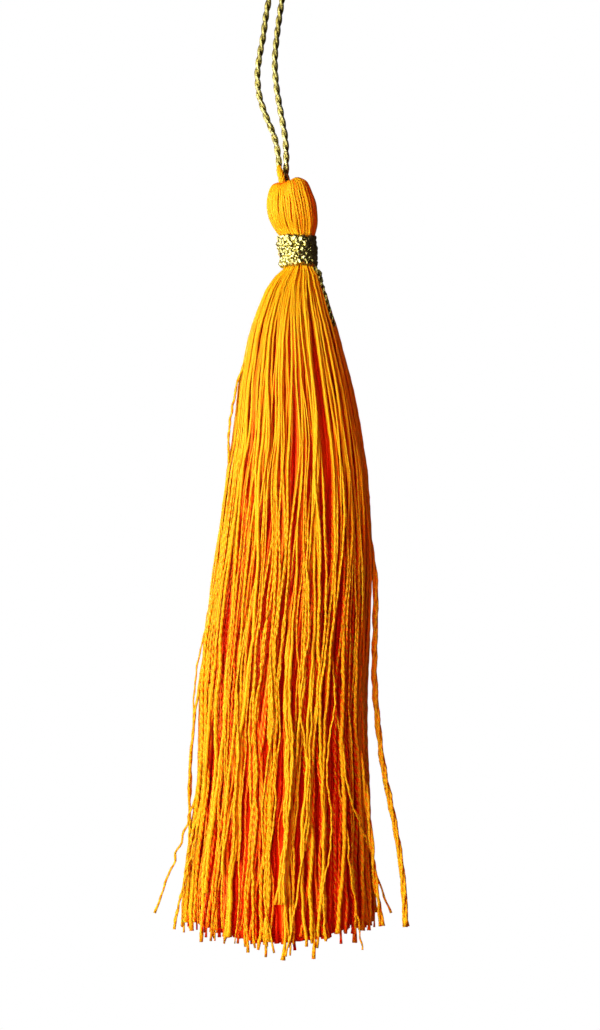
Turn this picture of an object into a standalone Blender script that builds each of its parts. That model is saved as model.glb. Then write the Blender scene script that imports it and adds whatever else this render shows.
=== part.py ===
"""A hanging silk tassel: a hank of floss folded over a metallic cord, bound at the neck with braid.

Units are metres. +Z is up and -Y is the front. The origin is the top of the hanging loop, so every
height is given as a drop: how far below that point it lies, in millimetres.
"""

from math import cos, exp, pi, sin, sqrt, tau

import bmesh
import bpy
from mathutils import Vector

MM = 0.001
GAP = 0.3  # mm, between neighbouring solids

# The cord and its route. x and y in mm, one row for each point of the smooth route.
CORD_DIAMETER = 1.0
CORD_POINTS_A_ROW = 2
CORD_ROUTE = (
    # drop, x, y
    (49.0, -1.05, 0.30),
    (47.2, -1.25, 0.25),
    (44.8, -1.60, 0.10),
    (42.7, -2.20, 0.00),
    (40.6, -3.10, 0.00),
    (38.6, -3.85, 0.00),
    (36.5, -4.50, 0.00),
    (34.5, -4.78, 0.00),
    (32.4, -4.85, 0.00),
    (30.3, -4.60, 0.00),
    (28.2, -4.25, 0.00),
    (26.2, -3.86, 0.00),
    (22.1, -3.30, 0.00),
    (16.0, -2.15, 0.05),
    (10.0, -1.70, 0.10),
    (5.0, -1.55, 0.10),
    (2.2, -1.40, 0.05),
    (0.75, -0.80, 0.00),
    (0.50, -0.10, 0.00),
    (0.85, 0.55, 0.00),
    (2.3, 0.95, -0.05),
    (5.0, 0.85, -0.10),
    (10.0, 0.45, -0.10),
    (16.0, -0.10, -0.05),
    (22.1, -1.00, 0.00),
    (26.2, -1.55, 0.00),
    (30.3, -1.90, 0.00),
    (34.5, -1.66, 0.00),
    (38.6, -1.00, 0.00),
    (42.7, -0.25, 0.05),
    (45.0, -0.02, 0.20),
    (47.2, 0.05, 0.60),
    (49.2, 0.00, 0.85),
)

# The hank, one row for each section. left and right are its edges seen from the front, deep is half of its
# thickness from front to back, and lock is how far the floss sinks in between two locks, all in mm.
HANK_SECTIONS = (
    # drop, left, right, deep, lock
    (52.4, -3.05, 4.25, 3.30, 0.10),
    (54.7, -3.45, 5.10, 3.85, 0.15),
    (56.6, -3.25, 5.30, 3.90, 0.15),
    (58.0, -2.70, 5.35, 3.60, 0.12),
    (59.2, -2.10, 5.25, 3.20, 0.08),
    (59.6, -1.30, 4.90, 2.90, 0.00),
    (59.75, -0.55, 4.25, 2.40, 0.00),
    (65.85, -0.15, 4.65, 2.40, 0.00),
    (66.1, -0.75, 5.10, 2.80, 0.00),
    (66.8, -1.40, 5.40, 3.30, 0.10),
    (67.8, -2.30, 5.75, 3.90, 0.25),
    (69.2, -3.30, 6.20, 4.70, 0.40),
    (70.9, -4.20, 6.90, 5.50, 0.55),
    (73.0, -5.20, 7.60, 6.30, 0.70),
    (75.2, -6.10, 8.45, 7.00, 0.80),
    (78.0, -6.80, 9.20, 7.60, 0.90),
    (81.0, -7.30, 9.90, 8.10, 1.00),
    (85.0, -8.10, 10.90, 8.70, 1.10),
    (90.3, -8.60, 12.00, 9.40, 1.20),
    (95.5, -9.10, 13.00, 10.10, 1.25),
    (100.0, -9.90, 13.80, 10.80, 1.30),
    (107.0, -10.70, 14.50, 11.50, 1.35),
    (114.0, -11.50, 14.85, 12.10, 1.40),
    (121.0, -12.40, 14.70, 12.50, 1.40),
    (129.0, -13.40, 14.50, 12.90, 1.40),
    (137.0, -14.00, 14.10, 13.10, 1.40),
    (145.0, -14.40, 14.00, 13.30, 1.40),
    (153.0, -15.10, 14.30, 13.60, 1.40),
    (161.0, -16.20, 14.50, 13.90, 1.35),
    (168.0, -17.10, 14.70, 14.20, 1.30),
    (174.0, -17.80, 14.95, 14.50, 1.25),
    (177.0, -17.90, 15.00, 14.60, 1.20),
)
SIDES = 68
# Locks round the skirt: how many, how much of the lock depth, and how far they drift round, in radians.
LOCK_WAVES = (
    # count, share, drift
    (11, 0.50, 0.5),
    (7, 0.30, -0.8),
    (17, 0.20, 0.3),
)

# The head's domed top, with the cleft that the cord comes out of between its two lobes.
HEAD_PEAK = 50.4
HEAD_RINGS = (0.97, 0.90, 0.78, 0.62, 0.44, 0.24)
LEFT_LOBE_SINK = 0.8
CLEFT_X = 0.25
CLEFT_WIDTH = 0.75
CLEFT_DEPTH = 1.3

# The cut ends of the skirt. share is a ring's size as a share of the last section's.
CUT_RINGS = (
    # share, drop
    (0.97, 178.1),
    (0.88, 178.8),
    (0.62, 179.3),
    (0.32, 179.5),
)
CUT_MIDDLE = 179.6

# The braid round the neck.
BAND_TOP = 60.1
BAND_BOTTOM = 65.5
BAND_INNER = 2.40 + GAP
BAND_OUTER = 3.45
BAND_COURSES = 3
BAND_COURSE_SINK = 0.28
BAND_SIDES = 48
BAND_ROWS_A_COURSE = 4
BAND_AXIS_TOP = 1.87
BAND_AXIS_BOTTOM = 2.23

# Thin locks and ends that lie on the skirt or hang beside it. side is the place round the skirt: 0 is the
# right side, 90 the back, 180 the left side and 270 the front. off is the clear space between the hank's
# surface and the lock's, in mm.
TAIL_DIAMETER = 0.8
TAIL_ROUTE = (
    # drop, side, off
    (66.9, 332, 0.40),
    (68.2, 334, 0.35),
    (69.7, 335, 0.35),
    (71.4, 336, 0.35),
    (73.4, 337, 0.35),
    (75.6, 338, 0.40),
)
STRAYS = {
    # name: (diameter, rows of drop, side, off)
    "stray_lock_right": (
        1.2,
        (
            (118.5, 350, 0.4),
            (125.0, 351, 0.7),
            (134.0, 352, 0.9),
            (143.0, 352, 1.9),
            (150.5, 352, 2.7),
            (158.5, 351, 4.1),
            (165.5, 351, 5.2),
            (171.5, 350, 5.6),
            (176.0, 350, 5.8),
        ),
    ),
    "stray_lock_right_low": (
        0.9,
        (
            (153.0, 335, 0.4),
            (158.0, 336, 0.8),
            (164.0, 338, 1.1),
            (170.0, 340, 1.4),
            (176.0, 342, 2.1),
        ),
    ),
    "stray_lock_left_high": (
        0.5,
        (
            (85.0, 190, 0.35),
            (89.5, 190, 0.90),
            (94.5, 190, 1.10),
            (98.5, 189, 0.35),
        ),
    ),
    "stray_lock_left": (
        0.6,
        (
            (127.0, 186, 0.4),
            (133.0, 187, 0.8),
            (141.0, 188, 1.8),
            (149.0, 188, 2.2),
            (155.0, 187, 1.8),
            (161.5, 185, 0.6),
        ),
    ),
    "stray_lock_left_low": (
        0.6,
        (
            (152.0, 196, 0.4),
            (158.5, 196, 1.3),
            (165.5, 195, 2.6),
            (172.0, 194, 4.3),
        ),
    ),
    "stray_lock_left_front": (
        0.6,
        (
            (158.0, 206, 0.4),
            (164.0, 206, 0.9),
            (170.0, 205, 1.6),
            (175.5, 204, 2.2),
        ),
    ),
}

# The floss that binds the cord's legs, from the cleft up against the left leg: thin, fat, thin again.
TIE_ROUTE = (
    # drop, x, y, diameter
    (50.85, -0.50, -1.15, 0.55),
    (50.2, -0.62, -1.25, 1.00),
    (49.4, -0.85, -1.25, 1.25),
    (48.7, -1.05, -1.15, 1.25),
    (48.05, -1.22, -1.05, 0.95),
    (47.6, -1.32, -1.00, 0.50),
)
TIE_SIDES = 12

# base colour, roughness and metallic of each material
FINISHES = {
    "silk_floss": ((0.90, 0.42, 0.02), 0.45, 0.0),
    "gold_braid": ((0.62, 0.53, 0.22), 0.35, 0.8),
    "gold_cord": ((0.60, 0.52, 0.24), 0.40, 0.7),
}


def clear_scene():
    for old in list(bpy.data.objects):
        bpy.data.objects.remove(old, do_unlink=True)


def material(name):
    """The named finish as a material, made the first time that it is asked for."""
    if name in bpy.data.materials:
        return bpy.data.materials[name]
    colour, roughness, metallic = FINISHES[name]
    made = bpy.data.materials.new(name)
    made.use_nodes = True
    shader = made.node_tree.nodes["Principled BSDF"]
    shader.inputs["Base Color"].default_value = (*colour, 1.0)
    shader.inputs["Roughness"].default_value = roughness
    shader.inputs["Metallic"].default_value = metallic
    return made


def at(x, y, drop):
    """A point from millimetres and a drop."""
    return Vector((x * MM, y * MM, -drop * MM))


def smooth_route(rows, points_a_row):
    """Points along a smooth curve through the rows, with points_a_row of them from each row to the next."""
    ends = [rows[0], *rows, rows[-1]]
    found = []
    for before, start, end, after in zip(ends, ends[1:], ends[2:], ends[3:], strict=False):
        for step in range(points_a_row):
            t = step / points_a_row
            found.append(
                tuple(
                    0.5 * (2 * b + (c - a) * t + (2 * a - 5 * b + 4 * c - d) * t**2 + (3 * b - a - 3 * c + d) * t**3)
                    for a, b, c, d in zip(before, start, end, after, strict=True)
                )
            )
    return [*found, rows[-1]]


def section_at(drop):
    """The hank's left, right, deep and lock at this drop, read between the table's rows."""
    for upper, lower in zip(HANK_SECTIONS, HANK_SECTIONS[1:], strict=False):
        if drop <= lower[0]:
            t = max(0.0, (drop - upper[0]) / (lower[0] - upper[0]))
            return [a + (b - a) * t for a, b in zip(upper[1:], lower[1:], strict=True)]
    return list(HANK_SECTIONS[-1][1:])


def lock_sink(angle, drop, lock):
    """How far the floss lies below the section's outline at this angle: deepest between two locks."""
    below_neck = (drop - BAND_BOTTOM) / (CUT_MIDDLE - BAND_BOTTOM)
    wave = sum(share * cos(count * angle + count * drift * below_neck) for count, share, drift in LOCK_WAVES)
    return lock * (1 - wave) / 2


def on_hank(angle, drop, off=0.0):
    """x and y of a point on the hank's surface at this angle, or off millimetres outside of it."""
    left, right, deep, lock = section_at(drop)
    out = off - lock_sink(angle, drop, lock)
    return (left + right) / 2 + ((right - left) / 2 + out) * cos(angle), (deep + out) * sin(angle)


def head_drop(x, share):
    """The drop of the head's top at x, on the ring of this share of the shoulder."""
    shoulder = HANK_SECTIONS[0][0]
    lobe = LEFT_LOBE_SINK / (1 + exp((x - CLEFT_X) / (CLEFT_WIDTH / 2)))
    cleft = CLEFT_DEPTH * exp(-(((x - CLEFT_X) / CLEFT_WIDTH) ** 2))
    rise = (shoulder - HEAD_PEAK) * sqrt(1 - share**2)
    return shoulder - rise + (lobe + cleft) * sqrt(1 - share**2)


def new_object(name, finish, bm):
    mesh = bpy.data.meshes.new(name)
    bmesh.ops.recalc_face_normals(bm, faces=bm.faces)
    bm.to_mesh(mesh)
    bm.free()
    mesh.shade_smooth()
    mesh.materials.append(material(finish))
    made = bpy.data.objects.new(name, mesh)
    bpy.context.scene.collection.objects.link(made)
    return made


def skin(bm, rings, first=None, last=None):
    """Faces between each ring of vertices and the next, closed by fans to the first and last points."""
    for ring, below in zip(rings, rings[1:], strict=False):
        for i in range(len(ring)):
            j = (i + 1) % len(ring)
            bm.faces.new((ring[i], ring[j], below[j], below[i]))
    for ring, point in ((rings[0], first), (rings[-1], last)):
        if point is None:
            continue
        pole = bm.verts.new(point)
        for i in range(len(ring)):
            bm.faces.new((ring[i], ring[(i + 1) % len(ring)], pole))


def build_hank():
    """The head's dome, the sections from the shoulders to the cut, and the cut ends."""
    bm = bmesh.new()
    angles = [tau * i / SIDES for i in range(SIDES)]
    rings = []
    left, right, deep, _ = HANK_SECTIONS[0][1:]
    middle = (left + right) / 2
    for share in reversed(HEAD_RINGS):
        ring = []
        for angle in angles:
            x = middle + (right - left) / 2 * share * cos(angle)
            ring.append(bm.verts.new(at(x, deep * share * sin(angle), head_drop(x, share))))
        rings.append(ring)
    for drop, *_ in HANK_SECTIONS:
        rings.append([bm.verts.new(at(*on_hank(angle, drop), drop)) for angle in angles])
    last = HANK_SECTIONS[-1]
    cut_x = (last[1] + last[2]) / 2
    for share, drop in CUT_RINGS:
        ring = []
        for angle in angles:
            x, y = on_hank(angle, last[0])
            ring.append(bm.verts.new(at(cut_x + (x - cut_x) * share, y * share, drop)))
        rings.append(ring)
    skin(bm, rings, at(middle, 0, head_drop(middle, 0.0)), at(cut_x, 0, CUT_MIDDLE))
    return new_object("floss_hank", "silk_floss", bm)


def build_band():
    """A ring round the neck, whose outside bulges once for each course of the braid."""
    bm = bmesh.new()
    rows = BAND_COURSES * BAND_ROWS_A_COURSE
    profile = [(BAND_INNER, 0.0)]
    for row in range(rows + 1):
        bulge = abs(sin(pi * row / BAND_ROWS_A_COURSE))
        profile.append((BAND_OUTER - BAND_COURSE_SINK * (1 - bulge), row / rows))
    profile.append((BAND_INNER, 1.0))
    rings = []
    for radius, down in profile:
        drop = BAND_TOP + (BAND_BOTTOM - BAND_TOP) * down
        axis = BAND_AXIS_TOP + (BAND_AXIS_BOTTOM - BAND_AXIS_TOP) * down
        angles = [tau * i / BAND_SIDES for i in range(BAND_SIDES)]
        rings.append([bm.verts.new(at(axis + radius * cos(a), radius * sin(a), drop)) for a in angles])
    skin(bm, [*rings, rings[0]])
    return new_object("neck_band", "gold_braid", bm)


def build_tube(name, finish, points, diameter, sides_setting=2):
    """A tube of one diameter along these points."""
    curve = bpy.data.curves.new(name, "CURVE")
    curve.dimensions = "3D"
    curve.bevel_depth = diameter / 2 * MM
    curve.bevel_resolution = sides_setting
    curve.use_fill_caps = True
    spline = curve.splines.new("POLY")
    spline.points.add(len(points) - 1)
    for point, place in zip(spline.points, points, strict=True):
        point.co = (*place, 1.0)
    curve.materials.append(material(finish))
    made = bpy.data.objects.new(name, curve)
    bpy.context.scene.collection.objects.link(made)
    return made


def build_cord():
    points = [at(x, y, drop) for drop, x, y in smooth_route(CORD_ROUTE, CORD_POINTS_A_ROW)]
    return build_tube("cord_loop", "gold_cord", points, CORD_DIAMETER)


def build_on_hank(name, finish, rows, diameter, points_a_row=2):
    """A tube whose route is given by places on the hank's surface."""
    points = []
    for drop, side, off in smooth_route(rows, points_a_row):
        points.append(at(*on_hank(side * pi / 180, drop, off + diameter / 2), drop))
    return build_tube(name, finish, points, diameter)


def build_tie():
    """A short fat end of floss: round rings across its route, closed by a point at each end."""
    bm = bmesh.new()
    rows = smooth_route(TIE_ROUTE, 2)
    centres = [at(x, y, drop) for drop, x, y, _ in rows]
    rings = []
    for i, (centre, row) in enumerate(zip(centres, rows, strict=True)):
        along = centres[min(i + 1, len(rows) - 1)] - centres[max(i - 1, 0)]
        across = along.cross(Vector((0, 1, 0))).normalized()
        front = across.cross(along).normalized()
        radius = row[3] / 2 * MM
        angles = [tau * k / TIE_SIDES for k in range(TIE_SIDES)]
        rings.append([bm.verts.new(centre + radius * (cos(a) * across + sin(a) * front)) for a in angles])
    skin(bm, rings, centres[0], centres[-1])
    return new_object("cord_tie", "silk_floss", bm)


def main():
    clear_scene()
    build_hank()
    build_band()
    build_cord()
    build_tie()
    build_on_hank("band_tail", "gold_braid", TAIL_ROUTE, TAIL_DIAMETER)
    for name, (diameter, rows) in STRAYS.items():
        build_on_hank(name, "silk_floss", rows, diameter)


main()
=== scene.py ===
"""The looks of the silk tassel: its floss, braid and cord as threads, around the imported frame.

Tables are in millimetres, and a drop is how far a point lies below the top of the hanging loop. The scene
itself is in metres. A side is the place round the tassel: 0 is the right, 90 the back, 180 the left and
270 the front, in degrees.
"""

import bpy
import numpy as np
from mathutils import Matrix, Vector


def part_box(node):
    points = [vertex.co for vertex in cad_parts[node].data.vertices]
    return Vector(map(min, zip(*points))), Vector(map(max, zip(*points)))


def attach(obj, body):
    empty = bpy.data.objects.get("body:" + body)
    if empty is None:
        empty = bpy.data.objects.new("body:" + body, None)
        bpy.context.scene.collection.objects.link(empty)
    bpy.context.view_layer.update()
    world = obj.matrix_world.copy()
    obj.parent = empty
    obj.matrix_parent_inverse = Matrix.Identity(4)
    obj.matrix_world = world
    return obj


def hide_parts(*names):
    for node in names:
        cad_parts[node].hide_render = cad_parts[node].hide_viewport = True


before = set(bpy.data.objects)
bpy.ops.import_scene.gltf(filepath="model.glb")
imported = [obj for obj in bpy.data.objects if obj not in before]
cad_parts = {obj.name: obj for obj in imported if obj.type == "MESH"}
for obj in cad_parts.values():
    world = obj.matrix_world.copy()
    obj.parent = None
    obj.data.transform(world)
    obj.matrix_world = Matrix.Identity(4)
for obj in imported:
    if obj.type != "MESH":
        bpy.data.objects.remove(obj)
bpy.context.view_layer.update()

MM = 0.001
TAU = 2 * np.pi

# The camera looks level along +Y. FRAME_TALL is the height that it sees at the tassel, in mm.
CAMERA_AWAY = 450.0
CAMERA_X = 2.38
CAMERA_DROP = 107.6
FRAME_TALL = 175.1
SENSOR = 36.0

# The floor, in mm below the loop and in mm across from the middle.
FLOOR_DROP = 700.0
FLOOR_RADIUS = 1200.0
FLOOR_CORNERS = 96

# The hanging cord: two plies laid round the route that its CAD tube follows.
CORD_PITCH = 3.9
CORD_PLY_RADIUS = 0.36
CORD_PLY_OFFSET = 0.20
CORD_STEPS = 620
CORD_ROUTE = (
    # drop, x, y
    (49.0, -1.05, 0.30),
    (47.2, -1.25, 0.25),
    (44.8, -1.60, 0.10),
    (42.7, -2.20, 0.00),
    (40.6, -3.10, 0.00),
    (38.6, -3.85, 0.00),
    (36.5, -4.50, 0.00),
    (34.5, -4.78, 0.00),
    (32.4, -4.85, 0.00),
    (30.3, -4.60, 0.00),
    (28.2, -4.25, 0.00),
    (26.2, -3.86, 0.00),
    (22.1, -3.30, 0.00),
    (16.0, -2.15, 0.05),
    (10.0, -1.70, 0.10),
    (5.0, -1.55, 0.10),
    (2.2, -1.40, 0.05),
    (0.75, -0.80, 0.00),
    (0.50, -0.10, 0.00),
    (0.85, 0.55, 0.00),
    (2.3, 0.95, -0.05),
    (5.0, 0.85, -0.10),
    (10.0, 0.45, -0.10),
    (16.0, -0.10, -0.05),
    (22.1, -1.00, 0.00),
    (26.2, -1.55, 0.00),
    (30.3, -1.90, 0.00),
    (34.5, -1.66, 0.00),
    (38.6, -1.00, 0.00),
    (42.7, -0.25, 0.05),
    (45.0, -0.02, 0.20),
    (47.2, 0.05, 0.60),
    (49.2, 0.00, 0.85),
)
CORD_ENDS = ((51.3, -0.35, 0.20), (51.3, 0.20, 0.75))

# Drops: where the skirt's threads start, inside the band, where they leave it, where the skirt is cut, and
# where the longest thread ends.
THREAD_TOP = 63.6
NECK_DROP = 65.5
CUT_DROP = 177.6
LONGEST_DROP = 182.2

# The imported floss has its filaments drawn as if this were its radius, in mm.
FILAMENT_RADIUS = 26

# Points worked out between two rows of a smooth curve, before they are spread evenly.
CURVE_STEPS = 24

# How far apart two neighbouring threads lie in their noise, in mm, and the share of a thread's UV column
# that stays free on each side.
NOISE_APART = 7.3
COLUMN_GAP = 0.05


# ---------------------------------------------------------------- shared shapes


def smoothstep(low, high, x):
    t = np.clip((x - low) / (high - low), 0, 1)
    return t * t * (3 - 2 * t)


def unit(v):
    return v / np.maximum(np.linalg.norm(v, axis=-1, keepdims=True), 1e-12)


def at(drop, x, y):
    """Points in metres from drops and places in millimetres."""
    return np.stack([x, y, -np.asarray(drop, float)], -1) * MM


def smooth_curve(rows, steps):
    """steps points, evenly spread along a smooth curve through the rows."""
    rows = np.asarray(rows, float)
    ends = np.concatenate([2 * rows[:1] - rows[1:2], rows, 2 * rows[-1:] - rows[-2:-1]])
    found = []
    for a, b, c, d in zip(ends, ends[1:], ends[2:], ends[3:], strict=False):
        t = np.linspace(0, 1, CURVE_STEPS, endpoint=False)[:, None]
        cubic = 2 * b + (c - a) * t + (2 * a - 5 * b + 4 * c - d) * t**2
        found.append(0.5 * (cubic + (3 * b - a - 3 * c + d) * t**3))
    fine = np.concatenate([*found, rows[-1:]])
    run = np.concatenate([[0], np.cumsum(np.linalg.norm(np.diff(fine, axis=0), axis=1))])
    even = np.linspace(0, run[-1], steps)
    return np.stack([np.interp(even, run, column) for column in fine.T], 1)


def waves(rng, fall, table):
    """One smooth random wander for each row of fall, from (size, turns) rows."""
    total = np.zeros_like(fall)
    for size, turns in table:
        turned = turns * rng.uniform(0.8, 1.25, (len(fall), 1))
        phase = rng.uniform(0, 1, (len(fall), 1))
        total += size * rng.uniform(0.5, 1.3, (len(fall), 1)) * np.sin(TAU * (turned * fall + phase))
    return total


def corners_of(node):
    """The CAD node's mesh points, in metres."""
    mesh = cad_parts[node].data
    co = np.empty(len(mesh.vertices) * 3, np.float32)
    mesh.vertices.foreach_get("co", co)
    return co.reshape(-1, 3)


def rings_of(node, least):
    """The CAD node's level rings, each as its drop and its left, right and half depth, in mm."""
    co = np.unique(np.round(corners_of(node) / MM, 3), axis=0)
    levels, index, counts = np.unique(np.round(co[:, 2], 2), return_inverse=True, return_counts=True)
    rows = []
    for i in np.nonzero(counts >= least)[0][::-1]:
        ring = co[index.reshape(-1) == i]
        rows.append((-levels[i], ring[:, 0].min(), ring[:, 0].max(), np.abs(ring[:, 1]).max()))
    return np.array(rows)


def middle_line(node, steps):
    """Points down the middle of a CAD tube that runs downwards all the way."""
    low, high = (np.array(corner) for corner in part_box(node))
    co = corners_of(node)
    levels = np.linspace(high[2], low[2], steps)
    near = np.exp(-(((co[None, :, 2] - levels[:, None]) / ((high[2] - low[2]) / steps)) ** 2))
    near /= near.sum(1, keepdims=True)
    return np.stack([near @ co[:, 0], near @ co[:, 1], levels], 1)


def new_mesh(name, places, faces, smooth=True):
    """A mesh from an array of places and a list of arrays of faces, each with one number of corners."""
    mesh = bpy.data.meshes.new(name)
    corners = np.concatenate([f.ravel() for f in faces])
    totals = np.concatenate([np.full(len(f), f.shape[1]) for f in faces])
    mesh.vertices.add(len(places))
    mesh.vertices.foreach_set("co", np.asarray(places, np.float32).ravel())
    mesh.loops.add(len(corners))
    mesh.loops.foreach_set("vertex_index", corners.astype(np.int32))
    mesh.polygons.add(len(totals))
    mesh.polygons.foreach_set("loop_start", np.concatenate([[0], np.cumsum(totals)[:-1]]).astype(np.int32))
    mesh.update(calc_edges=True)
    mesh.validate()
    mesh.polygons.foreach_set("use_smooth", np.full(len(totals), smooth))
    made = bpy.data.objects.new(name, mesh)
    bpy.context.scene.collection.objects.link(made)
    return made


def set_points(mesh, name, kind, values):
    layer = mesh.attributes.new(name, kind, "POINT")
    field = "vector" if kind == "FLOAT_VECTOR" else "value"
    layer.data.foreach_set(field, np.asarray(values, np.float32).ravel())


def threads(name, paths, radii, tones, ref, sides, flat=0.0, turn=0.0, crimp=0.0, inner_painted_shade=0.34, edge_painted_shade=0.14):
    """One mesh of many threads. paths is (threads, steps, 3) and radii (threads, steps).

    ref is a direction across each thread. tones give each point's colour, from 0, deep red, to 1, golden
    yellow, and the lower tones mostly stand for painted shade among the threads. A thread is wider than it
    is thick by flat, and that shape turns by turn radians a millimetre along it. crimp is how lumpy its
    plies are. Painted shade darkens its inner side and its edges, by the two shade amounts.
    """
    many, steps = radii.shape
    along = unit(np.gradient(paths, axis=1))
    side = unit(np.cross(ref, along))
    out = np.cross(along, side)
    length = np.linalg.norm(np.diff(paths, axis=1), axis=2).cumsum(1) / MM
    length = np.concatenate([np.zeros((many, 1)), length], 1)
    angle = TAU * np.arange(sides) / sides
    ring = radii[..., None] * (1 + flat * np.cos(2 * (angle - (turn * length)[..., None])))
    places = (
        paths[:, :, None]
        + ring[..., None] * np.cos(angle)[:, None] * side[:, :, None]
        + ring[..., None] * np.sin(angle)[:, None] * out[:, :, None]
    )
    first = (np.arange(many)[:, None, None] * steps + np.arange(steps - 1)[:, None]) * sides
    k = np.arange(sides)
    after = (k + 1) % sides
    quads = np.stack([first + k, first + after, first + after + sides, first + k + sides], -1)
    start = np.arange(many)[:, None] * steps * sides
    caps = [start + k[::-1], start + (steps - 1) * sides + k]
    made = new_mesh(name, places.reshape(-1, 3), [quads.reshape(-1, 4), *caps])
    across = np.broadcast_to(np.stack([np.cos(angle), np.sin(angle)], -1), (many, steps, sides, 2))
    shift = np.arange(many)[:, None, None, None] * NOISE_APART
    down = np.broadcast_to(length[:, :, None, None] + shift, (many, steps, sides, 1))
    set_points(made.data, "thread", "FLOAT_VECTOR", np.concatenate([across, down], -1))
    # Painted shade: the side that faces in and the flanks are made darker in the tone.
    inward = np.clip(-np.sin(angle), 0, 1)
    flank = np.abs(np.cos(angle))
    shade = tones[:, :, None] - inner_painted_shade * inward - edge_painted_shade * flank**2
    set_points(made.data, "tone", "FLOAT", np.clip(shade, 0, 1.1))
    lumps = np.broadcast_to(np.broadcast_to(crimp, (many, steps))[..., None], (many, steps, sides))
    set_points(made.data, "crimp", "FLOAT", lumps)
    bake_map(made.data, many, steps, sides)
    return made


def bake_map(mesh, many, steps, sides):
    """A UV map with a column for each thread, from its top to its end."""
    layer = mesh.uv_layers.new(name="OFBake")
    i, j, k = np.meshgrid(np.arange(many), np.arange(steps - 1), np.arange(sides), indexing="ij")
    within = np.stack([k, k + 1, k + 1, k], -1) / sides * (1 - 2 * COLUMN_GAP) + COLUMN_GAP
    column = (within + i[..., None]) / many
    row = 1 - np.stack([j, j, j + 1, j + 1], -1) / (steps - 1)
    wall = np.stack([column, row], -1).reshape(-1, 2)
    middle = (np.repeat(np.arange(many), sides) + 0.5) / many
    caps = [np.stack([middle, np.full(many * sides, v)], -1) for v in (1, 0)]
    layer.uv.foreach_set("vector", np.concatenate([wall, *caps]).astype(np.float32).ravel())


# ---------------------------------------------------------------- materials


def ramp(nodes, stops):
    made = nodes.new("ShaderNodeValToRGB")
    made.color_ramp.interpolation = "LINEAR"
    while len(made.color_ramp.elements) < len(stops):
        made.color_ramp.elements.new(0.5)
    for element, (place, colour) in zip(made.color_ramp.elements, stops, strict=True):
        element.position = place
        element.color = (*colour, 1)
    return made


def maths(nodes, links, operation, *inputs):
    made = nodes.new("ShaderNodeMath")
    made.operation = operation
    for socket, value in zip(made.inputs, inputs, strict=False):
        if isinstance(value, (int, float)):
            socket.default_value = value
        else:
            links.new(value, socket)
    return made.outputs[0]


def new_material(name):
    """A new material, its nodes, its links and its shader."""
    made = bpy.data.materials.new(name)
    made.use_nodes = True
    nodes, links = made.node_tree.nodes, made.node_tree.links
    return made, nodes, links, nodes["Principled BSDF"]


def attribute(nodes, name, output="Fac"):
    """What a mesh says at each point under this name."""
    made = nodes.new("ShaderNodeAttribute")
    made.attribute_name = name
    return made.outputs[output]


def twisted(nodes, links, pitch):
    """The thread's own coordinates, turned along it once in every pitch millimetres."""
    place = attribute(nodes, "thread", "Vector")
    parts = nodes.new("ShaderNodeSeparateXYZ")
    links.new(place, parts.inputs[0])
    turn = nodes.new("ShaderNodeVectorRotate")
    turn.rotation_type = "Z_AXIS"
    links.new(place, turn.inputs["Vector"])
    links.new(maths(nodes, links, "MULTIPLY", parts.outputs["Z"], TAU / pitch), turn.inputs["Angle"])
    return turn.outputs["Vector"]


def stretched_noise(nodes, links, vector, across, along, detail=2.0):
    """Noise with its own scale across a thread and along it."""
    scale = nodes.new("ShaderNodeMapping")
    scale.inputs["Scale"].default_value = (across, across, along)
    links.new(vector, scale.inputs["Vector"])
    noise = nodes.new("ShaderNodeTexNoise")
    noise.inputs["Scale"].default_value = 1.0
    noise.inputs["Detail"].default_value = detail
    links.new(scale.outputs["Vector"], noise.inputs["Vector"])
    return noise.outputs["Fac"]


def paint(nodes, links, shader, shade, stops):
    """The base colour, from a shade that runs from 0 to 1 along the stops."""
    colours = ramp(nodes, stops)
    links.new(shade, colours.inputs["Fac"])
    links.new(colours.outputs["Color"], shader.inputs["Base Color"])


def add_relief(nodes, links, shader, height, strength, depth):
    """Fine relief, on which a height of 1 stands out by depth millimetres."""
    relief = nodes.new("ShaderNodeBump")
    relief.inputs["Strength"].default_value = strength
    relief.inputs["Distance"].default_value = depth * MM
    links.new(height, relief.inputs["Height"])
    links.new(relief.outputs["Normal"], shader.inputs["Normal"])


def set_gloss(shader, level, tint):
    shader.inputs["Specular IOR Level"].default_value = level
    shader.inputs["Specular Tint"].default_value = (*tint, 1)


# Tone 1 is the floss's own golden yellow. The oranges and deep reds below it are painted shade, for the
# floss deep among the other threads.
FLOSS_STOPS = (
    (0.0, (0.78, 0.012, 0.003)),
    (0.22, (0.92, 0.040, 0.004)),
    (0.45, (0.92, 0.18, 0.004)),
    (0.70, (0.82, 0.43, 0.006)),
    (1.0, (0.77, 0.53, 0.010)),
)
FLOSS_PITCH = 2.7
# The level between the two plies' lobes, and how far they stand out from it: a little on a smooth thread,
# and more on a lumpy one.
PLY_LEVEL = 0.55
PLY_SMOOTH = 0.06
PLY_LUMPY = 0.50


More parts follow.
